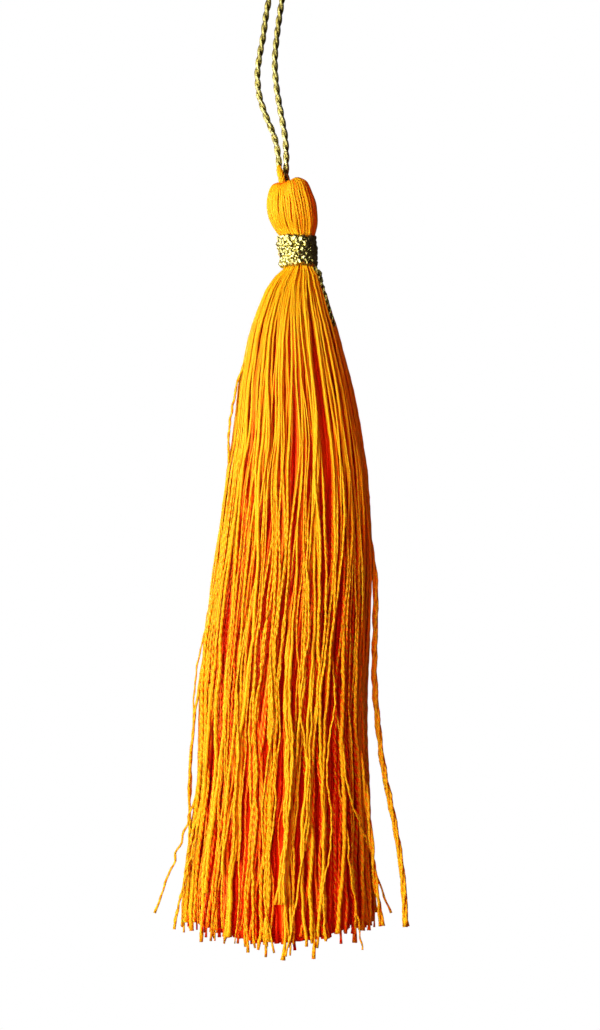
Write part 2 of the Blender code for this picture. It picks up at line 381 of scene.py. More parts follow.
def floss_material(name):
    """Silk floss: two soft plies laid round each other, filaments along them, a tone for each thread, and
    painted shade in the grooves between the plies.
    """
    made, nodes, links, shader = new_material(name)
    vector = twisted(nodes, links, FLOSS_PITCH)
    parts = nodes.new("ShaderNodeSeparateXYZ")
    links.new(vector, parts.inputs[0])
    lobes = maths(nodes, links, "MULTIPLY", parts.outputs["X"], parts.outputs["X"])
    filaments = stretched_noise(nodes, links, vector, 5.0, 0.25)
    patches = stretched_noise(nodes, links, vector, 0.5, 0.45)
    lumpy = maths(nodes, links, "MULTIPLY_ADD", attribute(nodes, "crimp"), PLY_LUMPY, PLY_SMOOTH)
    beads = maths(nodes, links, "SUBTRACT", lobes, PLY_LEVEL)
    beads = maths(nodes, links, "MULTIPLY", beads, lumpy)
    shade = maths(nodes, links, "MULTIPLY_ADD", filaments, 0.16, attribute(nodes, "tone"))
    shade = maths(nodes, links, "MULTIPLY_ADD", patches, 0.26, shade)
    # Painted highlight and painted shade: the ply lobes are lighter in colour and the grooves between them
    # darker, on top of the relief.
    shade = maths(nodes, links, "ADD", beads, shade)
    shade = maths(nodes, links, "SUBTRACT", shade, 0.21)
    paint(nodes, links, shader, shade, FLOSS_STOPS)
    rough = maths(nodes, links, "MULTIPLY_ADD", filaments, 0.25, 0.24)
    links.new(rough, shader.inputs["Roughness"])
    height = maths(nodes, links, "MULTIPLY", beads, 2.8)
    height = maths(nodes, links, "MULTIPLY_ADD", filaments, 0.55, height)
    add_relief(nodes, links, shader, height, 0.65, 0.16)
    set_gloss(shader, 0.6, (1.0, 0.72, 0.10))
    return made


def core_material(name):
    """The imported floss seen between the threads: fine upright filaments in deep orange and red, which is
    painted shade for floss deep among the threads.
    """
    made, nodes, links, shader = new_material(name)
    fine = stretched_noise(nodes, links, attribute(nodes, "thread", "Vector"), 1.0, 0.05, 3.0)
    shade = maths(nodes, links, "MULTIPLY_ADD", fine, 0.55, attribute(nodes, "tone"))
    shade = maths(nodes, links, "SUBTRACT", shade, 0.27)
    paint(nodes, links, shader, shade, FLOSS_STOPS)
    shader.inputs["Roughness"].default_value = 0.7
    set_gloss(shader, 0.3, (1.0, 0.25, 0.05))
    add_relief(nodes, links, shader, fine, 0.8, 0.25)
    return made


# Near black at 0, for painted shade in the grooves and crinkles, up to pale gold at 1.
METAL_STOPS = (
    (0.0, (0.10, 0.075, 0.02)),
    (0.35, (0.42, 0.36, 0.09)),
    (0.65, (0.78, 0.73, 0.30)),
    (1.0, (0.96, 0.94, 0.58)),
)


def metal_material(name, pitch, roughness, bump, crinkle):
    """Metallised film laid in a thread: streaks along it, and crinkles that catch the light in flecks, which
    are also painted into the colour as painted glints and painted shade.
    """
    made, nodes, links, shader = new_material(name)
    vector = twisted(nodes, links, pitch)
    streaks = stretched_noise(nodes, links, vector, 2.2, 0.4)
    flecks = stretched_noise(nodes, links, vector, 1.0, crinkle, 2.0)
    # Painted glints and painted shade: the flecks lighten and darken the colour.
    shade = maths(nodes, links, "MULTIPLY_ADD", flecks, 0.9, attribute(nodes, "tone"))
    shade = maths(nodes, links, "MULTIPLY_ADD", streaks, 0.4, shade)
    shade = maths(nodes, links, "SUBTRACT", shade, 0.70)
    paint(nodes, links, shader, shade, METAL_STOPS)
    shader.inputs["Metallic"].default_value = 1.0
    rough = maths(nodes, links, "MULTIPLY_ADD", flecks, 0.3, roughness - 0.15)
    links.new(rough, shader.inputs["Roughness"])
    height = maths(nodes, links, "MULTIPLY_ADD", flecks, 1.0, streaks)
    add_relief(nodes, links, shader, height, bump, 0.22)
    return made


def finish_piece(piece, material, slot, *nodes):
    piece.data.materials.append(material)
    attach(piece, "root")
    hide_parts(*nodes)


# ---------------------------------------------------------------- camera and light


def add_camera():
    camera = bpy.data.cameras.new("camera")
    camera.sensor_width = SENSOR
    camera.lens = SENSOR * CAMERA_AWAY / FRAME_TALL
    made = bpy.data.objects.new("camera", camera)
    made.location = at(CAMERA_DROP, CAMERA_X, -CAMERA_AWAY)
    made.rotation_euler = (np.pi / 2, 0, 0)
    bpy.context.scene.collection.objects.link(made)
    bpy.context.scene.camera = made


# The lights aim at this drop, in the middle of the tassel.
LIT_DROP = 110.0
LIGHTS = (
    # name, side, height above what it aims at, away in mm, size in mm, watts, colour, what it lights
    ("key", 230.0, 130.0, 700.0, 420.0, 6.5, (0.50, 1.0, 0.88), "cloth"),
    ("shine", 230.0, 90.0, 700.0, 420.0, 6.0, (1.0, 0.97, 0.88), "metal"),
    ("warm", 238.5, 60.0, 420.0, 520.0, 2.8, (1.0, 0.10, 0.03), "cloth"),
    ("sheen", 206.0, 40.0, 700.0, 700.0, 6.8, (1.0, 0.97, 0.90), "metal"),
    ("back", 110.0, 80.0, 800.0, 500.0, 3.5, (1.0, 0.80, 0.65), "all"),
    ("back_right", 74.0, 60.0, 800.0, 500.0, 1.7, (1.0, 0.80, 0.65), "cloth"),
)


def add_lights():
    """Soft lights. Those for the cloth aren't mirrored in the metal, and the other way round."""
    middle = at(LIT_DROP, 0, 0)
    for name, side, height, away, size, watts, colour, lights_up in LIGHTS:
        light = bpy.data.lights.new(name, "AREA")
        light.shape = "DISK"
        light.size = size * MM
        light.energy = watts
        light.color = colour
        made = bpy.data.objects.new(name, light)
        turn = np.radians(side)
        place = middle + np.array([np.cos(turn) * away, np.sin(turn) * away, height]) * MM
        made.location = place
        ray = unit(middle - place)
        made.rotation_euler = (np.arccos(-ray[2]), 0, np.arctan2(ray[1], ray[0]) - np.pi / 2)
        made.visible_glossy = lights_up != "cloth"
        made.visible_diffuse = lights_up != "metal"
        bpy.context.scene.collection.objects.link(made)


WORLD_SEEN = (1.0, 1.0, 1.0)
WORLD_SOFT = (0.24, 0.055, 0.02)
WORLD_MIRRORED = (0.030, 0.020, 0.022)


def add_world():
    """White for the camera, warm and weak on the cloth, and nearly dark in the metal's reflections."""
    world = bpy.data.worlds.new("studio")
    bpy.context.scene.world = world
    world.use_nodes = True
    nodes, links = world.node_tree.nodes, world.node_tree.links
    mirrored = nodes["Background"]
    mirrored.inputs["Color"].default_value = (*WORLD_MIRRORED, 1)
    path = nodes.new("ShaderNodeLightPath")
    result = mirrored.outputs[0]
    for ray, colour in (("Is Diffuse Ray", WORLD_SOFT), ("Is Camera Ray", WORLD_SEEN)):
        shown = nodes.new("ShaderNodeBackground")
        shown.inputs["Color"].default_value = (*colour, 1)
        mix = nodes.new("ShaderNodeMixShader")
        links.new(path.outputs[ray], mix.inputs["Fac"])
        links.new(result, mix.inputs[1])
        links.new(shown.outputs[0], mix.inputs[2])
        result = mix.outputs[0]
    links.new(result, nodes["World Output"].inputs["Surface"])
    bpy.context.scene.view_settings.view_transform = "Standard"


def add_floor():
    """A white floor far below the hanging tassel, which lights nothing."""
    around = TAU * np.arange(FLOOR_CORNERS) / FLOOR_CORNERS
    drops = np.full(FLOOR_CORNERS, FLOOR_DROP)
    places = at(drops, FLOOR_RADIUS * np.cos(around), FLOOR_RADIUS * np.sin(around))
    floor = new_mesh("floor", places, [np.arange(FLOOR_CORNERS)[None]], smooth=False)
    white, _, _, shader = new_material("floor_white")
    shader.inputs["Base Color"].default_value = (0.9, 0.9, 0.9, 1)
    shader.inputs["Emission Color"].default_value = (1, 1, 1, 1)
    shader.inputs["Emission Strength"].default_value = 1.0
    floor.data.materials.append(white)
    floor.visible_diffuse = False
    floor.visible_glossy = False
    floor.visible_shadow = False


# ---------------------------------------------------------------- the cord and its tie


def plies(centre, ply_radius, offset, pitch, many, phase=0.0):
    """Paths of plies laid round a centre line, their radii, and which way each lies from that line."""
    along = unit(np.gradient(centre, axis=0))
    side = unit(np.cross([0.0, 1.0, 0.0], along))
    out = np.cross(along, side)
    run = np.concatenate([[0], np.linalg.norm(np.diff(centre, axis=0), axis=1).cumsum()]) / MM
    turn = TAU * run / pitch + phase
    paths, refs = [], []
    for n in range(many):
        a = turn + TAU * n / many
        aside = np.cos(a)[:, None] * side + np.sin(a)[:, None] * out
        paths.append(centre + offset * MM * aside)
        refs.append(aside)
    return np.array(paths), np.full((many, len(centre)), ply_radius * MM), np.array(refs)


def build_cord():
    route = [CORD_ENDS[0], *CORD_ROUTE, CORD_ENDS[1]]
    centre = smooth_curve([(x, y, -drop) for drop, x, y in route], CORD_STEPS) * MM
    paths, radii, refs = plies(centre, CORD_PLY_RADIUS, CORD_PLY_OFFSET, -CORD_PITCH, 2)
    drop = -centre[:, 2] / MM
    tones = np.broadcast_to(0.80 - 0.22 * smoothstep(38, 24, drop), radii.shape)
    # Strong painted shade in the grooves between the two plies and along their edges.
    cord = threads("hanging_cord", paths, radii, tones, refs, 10, inner_painted_shade=0.68, edge_painted_shade=0.40)
    finish_piece(cord, metal_material("cord_metal", 1.1, 0.34, 0.6, 0.8), "gold_cord", "cord_loop")


TIE_STEPS = 40
TIE_FOOT = (0.1, 0.3, -0.9)
# How far the tie is moved towards the cord's leg, at its top and at its foot, in mm.
TIE_SHIFT = ((-0.15, 0.55, 0), (-0.15, 0.10, 0))


def build_tie(material):
    """Floss laid up against the foot of the cord's left leg."""
    line = middle_line("cord_tie", 14)[3:]
    line = np.concatenate([line, [line[-1] + np.array(TIE_FOOT) * MM]])
    centre = smooth_curve(line / MM, TIE_STEPS) * MM
    centre = centre + np.linspace(*TIE_SHIFT, TIE_STEPS) * MM
    paths, radii, refs = plies(centre, 0.21, 0.36, 5.0, 6)
    fall = np.linspace(0, 1, TIE_STEPS)
    swell = np.interp(fall, [0, 0.25, 0.7, 1], [0.65, 1.0, 1.1, 1.15])
    paths = centre + (paths - centre) * swell[:, None]
    tones = np.full(radii.shape, 1.08) - 0.15 * fall
    tie = threads("tie_floss", paths, radii * swell, tones, refs, 8)
    finish_piece(tie, material, "silk_floss", "cord_tie")


# ---------------------------------------------------------------- the head


# The x of the cleft that the cord goes into, and the drops of the head's crest and of its widest shoulder.
HEAD_PIT_X = 0.25
HEAD_CREST = 50.25
HEAD_SHOULDER = 52.4
HEAD_PROFILE = (
    # share of the shoulder's width, share of its depth, drop below the crest, left lobe's extra drop
    (0.06, 0.30, 1.30, 0.1),
    (0.16, 0.42, 0.50, 0.5),
    (0.38, 0.55, 0.00, 0.8),
    (0.62, 0.72, 0.15, 0.8),
    (0.84, 0.90, 0.75, 0.6),
)
HEAD_WALL = (
    # drop, how much wider than the CAD's outline
    (52.9, 0.05),
    (54.6, 0.05),
    (56.5, 0.05),
    (58.0, 0.02),
    (59.3, -0.05),
    (60.4, -0.35),
    (62.0, -0.9),
)
# The neck's left, right and half depth below this drop, where the band hides it.
NECK_HIDDEN_DROP = 59.5
NECK_HIDDEN = (-1.35, 5.15, 3.2)
HEAD_THREADS = 96
HEAD_STEPS = 40
HEAD_INSET = 0.19
HEAD_CORE_INSET = 0.62


def head_point(sections, side, inset):
    """Control points of the threads at these sides, from the cleft over the lobes down to the neck."""
    left, right, deep = (np.interp(HEAD_SHOULDER, sections[:, 0], sections[:, k]) for k in (1, 2, 3))
    left, right, deep = left - 0.1, right + 0.1, deep + 0.1
    rows = []
    for wide, thick, below, lobe in HEAD_PROFILE:
        middle = HEAD_PIT_X + ((left + right) / 2 - HEAD_PIT_X) * wide
        x = middle + ((right - left) / 2 - inset) * wide * np.cos(side)
        y = (deep - inset) * thick * np.sin(side)
        leftness = smoothstep(0.7, -0.9, x)
        front = np.abs(np.sin(side)) ** 3
        drop = HEAD_CREST + inset + below + lobe * leftness + front * (0.75 - 0.3 * wide)
        rows.append(np.stack([x, y, -drop], -1))
    for drop, wider in HEAD_WALL:
        left, right, deep = (np.interp(drop, sections[:, 0], sections[:, k]) for k in (1, 2, 3))
        if drop > NECK_HIDDEN_DROP:
            left, right, deep = NECK_HIDDEN
        x = (left + right) / 2 + ((right - left) / 2 + wider - inset) * np.cos(side)
        y = (deep + wider - inset) * np.sin(side)
        rows.append(np.stack([x, y, np.full_like(x, -drop)], -1))
    return np.stack(rows, 1)


def build_head(sections, material):
    """The head's threads, from the cleft over the two lobes and down into the band."""
    rng = np.random.default_rng(11)
    many, steps = HEAD_THREADS, HEAD_STEPS
    side = TAU * (np.arange(many) + rng.uniform(-0.3, 0.3, many)) / many
    control = head_point(sections, side, HEAD_INSET)
    paths = np.stack([smooth_curve(rows, steps) for rows in control])
    fall = np.broadcast_to(np.linspace(0, 1, steps), (many, steps))
    grow = smoothstep(0.1, 0.4, fall) * smoothstep(1.0, 0.8, fall)
    shift = waves(rng, fall, ((0.16, 0.8), (0.07, 2.0))) * grow
    tangent = np.stack([-np.sin(side), np.cos(side), np.zeros(many)], -1)
    outward = np.stack([np.cos(side), np.sin(side), np.zeros(many)], -1)
    paths = paths + shift[..., None] * tangent[:, None]
    paths = paths + (rng.uniform(-0.18, 0.06, (many, 1)) * grow)[..., None] * outward[:, None]
    upright = smoothstep(0.0, 0.3, fall)[..., None]
    ref = outward[:, None] * upright + np.array([0, 0, 1.0]) * (1 - upright)
    radii = rng.uniform(0.155, 0.225, (many, 1)) * np.interp(fall[0], [0, 0.15, 1], [0.8, 1.0, 1.0]) * MM
    # Painted shade: darker in the cleft, near the band, on some of the threads at the right, and round the
    # tie's foot.
    tones = rng.uniform(0.86, 1.10, (many, 1))
    tones = tones - 0.50 * smoothstep(0.16, 0.04, fall) - 0.12 * smoothstep(0.75, 1.0, fall)
    tones = tones - 0.30 * (rng.random(many) < 0.30 * smoothstep(-0.5, 0.9, np.cos(side)))[:, None]
    x, drop = paths[..., 0], -paths[..., 2]
    tones = tones - 0.60 * smoothstep(52.4, 51.2, drop) * np.exp(-(((x + 0.8) / 1.5) ** 2))
    piece = threads("head_threads", paths * MM, radii * np.ones((many, steps)), tones, ref, 8)
    finish_piece(piece, material, "silk_floss", "floss_hank")


def filament_places(side, run):
    """What core_material reads for its filaments: side round the piece, and run along it in mm."""
    across = [np.broadcast_to(FILAMENT_RADIUS * part, run.shape) for part in (np.cos(side), np.sin(side))]
    return np.stack([*across, run], -1)


def build_head_core(sections):
    """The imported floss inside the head, as one closed skin."""
    around, down = 96, 32
    side = TAU * np.arange(around) / around
    control = head_point(sections, side, HEAD_CORE_INSET)
    skin = np.stack([smooth_curve(rows, down) for rows in control], 1)
    first = (np.arange(down - 1) * around)[:, None]
    k = np.arange(around)
    after = (k + 1) % around
    quads = np.stack([first + k, first + k + around, first + after + around, first + after], -1)
    caps = [k[None], (down - 1) * around + k[None, ::-1]]
    core = new_mesh("head_core", skin.reshape(-1, 3) * MM, [quads.reshape(-1, 4), *caps])
    set_points(core.data, "thread", "FLOAT_VECTOR", filament_places(side, skin[..., 2]))
    # Deep orange-red all over: painted shade of the floss inside the head.
    set_points(core.data, "tone", "FLOAT", np.full(skin.shape[:2], 0.36))
    finish_piece(core, core_material("packed_floss_head"), "silk_floss", "floss_hank")


# ---------------------------------------------------------------- the skirt


# How far the threads stand out from the CAD's outline, all the way down and just below the band, in mm.
OUTLINE_ROOM = 0.45
NECK_ROOM = 0.50
# How deep the threads lie on each other as they leave the band, in mm.
NECK_STACK = 0.8
# Threads draw together in this many clumps, and this share of them sinks in among the others.
UPPER_CLUMPS = 24
LOWER_CLUMPS = 30
SUNK_SHARE = 0.10
SUNK_DEPTH = 1.1
# The side, in radians, at which most threads are sunk and painted in shade: the front right.
DARK_SIDE = 5.65
# The deeper layers' lower tones are painted shade for threads lying among the others.
LAYERS = (
    # name, count, steps, sides, radius, sink below the outline, tone low and high, pull, seed
    ("skirt_threads_outer", 144, 98, 7, 0.210, 0.20, (0.88, 1.13), 0.88, 21),
    ("skirt_threads_middle", 136, 80, 6, 0.18, 0.64, (0.70, 1.02), 0.60, 22),
    ("skirt_threads_inner", 110, 50, 6, 0.17, 1.40, (0.38, 0.68), 0.25, 23),
)


def hank_outline(sections, drop):
    """Middle, half width and half depth of the skirt's outline at these drops, in mm."""
    left, right, deep = (np.interp(drop, sections[:, 0], sections[:, k]) for k in (1, 2, 3))
    near_neck = smoothstep(64.8, 66.2, drop) * smoothstep(76, 67, drop)
    room = OUTLINE_ROOM * smoothstep(66, 90, drop) + NECK_ROOM * near_neck
    return (left + right) / 2, (right - left) / 2 + room, deep + room


def clump_pull(rng, side, clumps, least, most):
    """How far each thread is drawn towards the middle of its clump, in radians."""
    middles = TAU * (np.arange(clumps) + rng.uniform(-0.42, 0.42, clumps)) / clumps
    away = (middles[None] - side[:, None] + np.pi) % TAU - np.pi
    nearest = np.abs(away).argmin(1)
    return away[np.arange(len(side)), nearest] * rng.uniform(least, most, clumps)[nearest]


def cut_ends(rng, side, hidden):
    """How far down each thread ends: a level cut, a few threads that missed it, and a few broken short."""
    end = CUT_DROP + 1.0 - 2.3 * np.cos(side) ** 2 + rng.normal(0, 0.7, len(side)) - 0.6 * hidden
    end = end + (rng.random(len(side)) < 0.17) * rng.uniform(0.8, 4.2, len(side)) * (1 - hidden)
    end = end - (rng.random(len(side)) < 0.10) * rng.uniform(1.5, 12.0, len(side))
    return np.minimum(end, LONGEST_DROP)


def skirt_paths(sections, rng, count, steps, sink, pull):
    """Paths down the skirt for one layer of threads, with each point's side, fall and how sunk it is."""
    side = TAU * (np.arange(count) + rng.uniform(-0.45, 0.45, count)) / count
    rightness = np.clip(np.cos(side - DARK_SIDE), 0, 1) ** 2
    sunk = rng.random(count) < SUNK_SHARE + 0.10 * rightness
    sunk_right = rng.random(count) < 0.50 * rightness**1.5 * (1 - 0.8 * np.cos(side) ** 10)
    end = cut_ends(rng, side, np.maximum(sunk | sunk_right, sink > 0.5))
    drop = THREAD_TOP + (end[:, None] - THREAD_TOP) * np.linspace(0, 1, steps)
    fall = np.clip((drop - NECK_DROP) / (CUT_DROP - NECK_DROP), 0, 1.05)
    middle, half, deep = hank_outline(sections, drop)
    upper = clump_pull(rng, side, UPPER_CLUMPS, 0.1, 1.0)[:, None] * pull
    lower = clump_pull(rng, side, LOWER_CLUMPS, 0.1, 1.0)[:, None] * pull
    turned = side[:, None] + upper * smoothstep(0.0, 0.13, fall) * smoothstep(0.48, 0.18, fall)
    turned = turned + lower * smoothstep(0.38, 0.75, fall) * smoothstep(1.08, 0.9, fall)
    grow = smoothstep(0.0, 0.3, fall)
    lateral = waves(rng, fall, ((0.60, 0.7), (0.42, 2.1), (0.17, 4.6))) * grow
    lateral += waves(rng, fall, ((0.15, 8), (0.065, 17), (0.030, 29))) * smoothstep(0.25, 0.7, fall)
    splay = rng.normal(0, 0.5, (count, 1)) * smoothstep(0.93, 1.03, fall)
    turned = turned + (lateral + splay) / ((half + deep) / 2)
    low = sunk[:, None] * smoothstep(0.30, 0.60, fall)
    low = np.maximum(low, sunk_right[:, None] * smoothstep(0.48, 0.74, fall))
    out = -sink - SUNK_DEPTH * low + waves(rng, fall, ((0.22, 1.1), (0.12, 3.7))) * grow
    stack = rng.uniform(0, 1, (count, 1)) * NECK_STACK
    out = out - stack * smoothstep(0.03 + 0.09 * stack, 0.0, fall)
    x = middle + (half + out) * np.cos(turned)
    y = (deep + out) * np.sin(turned)
    return at(drop, x, y), turned, fall, low


def build_layer(sections, material, name, count, steps, sides, radius, sink, tone, pull, seed):
    """One layer of the skirt's threads, thicker and lumpier further down."""
    rng = np.random.default_rng(seed)
    paths, turned, fall, low = skirt_paths(sections, rng, count, steps, sink, pull)
    ref = np.stack([np.cos(turned), np.sin(turned), np.zeros_like(turned)], -1)
    thickening = 0.70 + 0.22 * smoothstep(0.03, 0.28, fall) + 0.32 * smoothstep(0.42, 0.75, fall)
    widths = np.clip(rng.lognormal(-0.10, 0.30, (count, 1)), 0.45, 1.5)
    widths = widths * (1 + waves(rng, fall, ((0.07, 9), (0.06, 21)))) * thickening
    tip = np.linspace(0, 1, steps)
    flare = 1 + rng.uniform(-0.3, 0.7, (count, 1)) * smoothstep(0.985, 1.0, tip)
    radii = radius * widths * flare * MM
    tones = rng.uniform(*tone, (count, 1)) + waves(rng, fall, ((0.05, 2.3), (0.05, 6.1)))
    # Painted shade: sunk threads and the deeper layers are made darker and redder.
    tones = tones - 0.55 * low - min(0.45, 0.55 * (sink - 0.20)) * smoothstep(0.03, 0.30, fall)
    crimp = smoothstep(0.15, 0.60, fall) * rng.uniform(0.3, 1.5, (count, 1))
    piece = threads(name, paths, radii, tones, ref, sides, flat=0.14, turn=1.1, crimp=crimp)
    finish_piece(piece, material, "silk_floss", "floss_hank")


CORE_AROUND = 240
CORE_DEPTH_TOP = 1.15
CORE_DEPTH_MORE = 0.8
CORE_RIBS = ((0.22, 23, 1.3), (0.16, 41, -1.7), (0.10, 67, 2.1))
# How much lower its rim is at the front and back, and higher at the sides, as the cut is.
CORE_RIM = 1.3
# The rings that close it below: share of the rim's size, and mm below the rim's middle.
CORE_CAPS = ((0.96, 0.5), (0.8, 0.8), (0.55, 0.9), (0.25, 0.9))


def build_core(sections):
    """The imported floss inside: the skirt and neck as one closed skin, with a rib for every few threads."""
    rng = np.random.default_rng(31)
    around = CORE_AROUND
    drops = np.concatenate([[63.8, 65.0], np.linspace(66, 90, 22), np.linspace(92, 176.6, 60)])
    side = TAU * np.arange(around) / around
    middle, half, deep = (v[:, None] for v in hank_outline(sections, drops))
    depth = CORE_DEPTH_MORE * smoothstep(65, 80, drops)[:, None] + CORE_DEPTH_TOP
    wander = sum(
        size * np.sin(count * side[None] + drift * drops[:, None] / 40 + rng.uniform(0, TAU))
        for size, count, drift in CORE_RIBS
    )
    out = -depth + wander * smoothstep(65, 85, drops)[:, None]
    x = middle + (half + out) * np.cos(side)
    y = (deep + out) * np.sin(side)
    lower = -CORE_RIM * np.cos(2 * side)[None] * smoothstep(150, 176, drops)[:, None]
    rings = at(drops[:, None] + lower, x, y)
    rim = rings[-1]
    centre = rim.mean(0)
    caps = [centre + (rim - centre) * share - np.array([0, 0, below]) * MM for share, below in CORE_CAPS]
    rings = np.concatenate([rings, caps])
    first = (np.arange(len(rings) - 1) * around)[:, None]
    k = np.arange(around)
    after = (k + 1) % around
    quads = np.stack([first + after + around, first + k + around, first + k, first + after], -1)
    ends = [k[None, ::-1], (len(rings) - 1) * around + k[None]]
    core = new_mesh("hank_core", rings.reshape(-1, 3), [quads.reshape(-1, 4), *ends])
    run = np.concatenate([drops, np.full(len(CORE_CAPS), drops[-1])])
    along = np.broadcast_to(run[:, None], (len(rings), around))
    set_points(core.data, "thread", "FLOAT_VECTOR", filament_places(side, along))
    # Painted shade: orange at the neck, redder and darker further down, for floss deep among the threads.
    tone = np.interp(run, [66, 74, 90, 120, 178], [0.64, 0.50, 0.40, 0.32, 0.22])
    set_points(core.data, "tone", "FLOAT", np.broadcast_to(tone[:, None], (len(rings), around)))
    finish_piece(core, core_material("packed_floss"), "silk_floss", "floss_hank")


# ---------------------------------------------------------------- strays


STRAYS = (
    # node, threads, radius, how far they lie apart, length laid on the skirt, length past the CAD's end
    ("stray_lock_right", 3, 0.30, 0.26, 22, 1.0),
    ("stray_lock_right_low", 2, 0.26, 0.24, 20, 0.6),
    ("stray_lock_left_high", 1, 0.22, 0.0, 12, 0.3),
    ("stray_lock_left", 1, 0.24, 0.0, 26, 0.3),
    ("stray_lock_left_low", 1, 0.20, 0.0, 22, 2.6),
    ("stray_lock_left_front", 1, 0.20, 0.0, 22, 1.4),
)


STRAY_STEPS = 70
STRAY_SUNK = 0.3


def build_strays(sections, material):
    """The locks that stand away from the skirt. Each starts on it, above where its CAD tube does."""
    rng = np.random.default_rng(41)
    for node, many, radius, apart, lead, past in STRAYS:
        line = middle_line(node, 14) / MM
        line = np.concatenate([line, [line[-1] + past * unit(line[-1] - line[-3])]])
        top = line[0]
        side = np.arctan2(top[1] * 1.1, top[0])
        drops = -top[2] - np.array([lead, lead * 0.7, lead * 0.35])
        middle, half, deep = hank_outline(sections, drops)
        angle = np.arctan2(top[1] / deep, (top[0] - middle) / half)
        x = middle + (half - STRAY_SUNK) * np.cos(angle)
        y = (deep - STRAY_SUNK) * np.sin(angle)
        start = np.stack([x, y, -drops], -1)
        centre = smooth_curve(np.concatenate([start, line]), STRAY_STEPS) * MM
        if many > 1:
            paths, radii, refs = plies(centre, radius, apart, 14.0, many, phase=side)
        else:
            paths, radii = centre[None], np.full((1, STRAY_STEPS), radius * MM)
            refs = np.broadcast_to(np.array([0.3, -1.0, 0.0]), (1, STRAY_STEPS, 3))
        fall = np.broadcast_to(np.linspace(0, 1, STRAY_STEPS), radii.shape)
        wiggle = waves(rng, fall, ((0.05, 9), (0.04, 17))) * np.clip((lead - 8) / 18, 0.2, 1.0)
        paths = paths + (wiggle * MM)[..., None] * np.array([1.0, 0.3, 0])
        radii = radii * (1 + 0.3 * smoothstep(0.975, 1, fall)) * (1 + waves(rng, fall, ((0.08, 13),)))
        tones = np.full(radii.shape, 1.02) + waves(rng, fall, ((0.08, 5),))
        name = node.replace("lock", "threads")
        piece = threads(name, paths, radii, tones, refs, 8, flat=0.1, turn=1.3, crimp=0.8)
        finish_piece(piece, material, "silk_floss", node)


LOOSE = (
    # radius, tone, then rows of drop, side and how far off the outline
    (
        0.17, 1.02,
        ((120, 291, -1.6), (140, 289, 0.1), (159.5, 285.2, 0.3),
         (172.4, 279.6, 0.4), (180.2, 274.5, 0.1)),
    ),
    (
        0.18, 1.10,
        ((138, 312, -1.6), (146, 314, 0.0), (154, 318, 0.3),
         (160.7, 332.4, 0.3), (168.1, 352, 0.5), (174.8, 350, 2.9)),
    ),
    (
        0.15, 0.95,
        ((150, 313, -1.6), (159, 315, 0.2),
         (167.6, 317.6, 0.3), (180.2, 327.6, 0.1)),
    ),
    (
        0.16, 1.05,
        ((112, 262, -1.6), (128, 259, 0.1), (141, 263, 0.3),
         (155, 258, 0.2), (166, 261, -0.2)),
    ),
    (
        0.17, 1.05,
        ((100, 283, -1.6), (113, 279, 0.1), (126, 284, 0.2),
         (139, 281, 0.2), (151, 288, 0.2), (163, 286, 0.1)),
    ),
    (
        0.15, 1.00,
        ((126, 301, -1.6), (137, 306, 0.2), (149, 300, 0.3),
         (160, 303, 0.3), (170, 297, 0.2), (178, 299, 0.0)),
    ),
    (
        0.15, 1.05,
        ((117, 243, -1.6), (133, 237, 0.2), (149, 240, 0.3),
         (163, 234, 0.2), (176, 236, 0.1)),
    ),
    (
        0.16, 1.05,
        ((118, 188, -1.6), (132.3, 187, 0.9), (144.2, 187, 1.2),
         (152.3, 186, 1.0), (163, 185, 0.0)),
    ),
    (
        0.16, 1.05,
        ((150, 200, -1.6), (162, 199, 0.4),
         (170, 197, 0.8), (176.3, 194, 1.6)),
    ),
    (
        0.16, 1.00,
        ((100, 172, -1.6), (118, 168, 0.2), (137, 172, 0.3),
         (156, 166, 0.3), (179, 169, 0.1)),
    ),
    (
        0.16, 1.02,
        ((104, 83, -1.6), (121, 88, 0.2), (140, 84, 0.3),
         (158, 91, 0.3), (180, 87, 0.1)),
    ),
    (
        0.15, 1.00,
        ((112, 34, -1.6), (130, 30, 0.2), (146, 35, 0.3),
         (165, 29, 0.3), (179, 31, 0.1)),
    ),
)
FLARED = (
    # drop, side, off the outline, how far apart its four threads lie, in mm
    (120, 270.5, -1.6, 0.16),
    (137.7, 271.9, 0.2, 0.24),
    (146.2, 274.4, 0.5, 0.30),
    (157.1, 273.5, 0.6, 0.20),
    (161.0, 273.4, 0.6, 0.14),
    (167.0, 271.6, 0.7, 0.24),
    (171.6, 270.9, 0.9, 0.58),
)


def beside(sections, rows, steps):
    """Points in mm along rows of drop, side in degrees and distance off the skirt's outline."""
    drop, side, off = smooth_curve(rows, steps).T[:3]
    middle, half, deep = hank_outline(sections, drop)
    turn = np.radians(side)
    return np.stack([middle + (half + off) * np.cos(turn), (deep + off) * np.sin(turn), -drop], 1), turn


LOOSE_STEPS = 90
FLARED_THREADS = 4
FLARED_RADIUS = 0.21


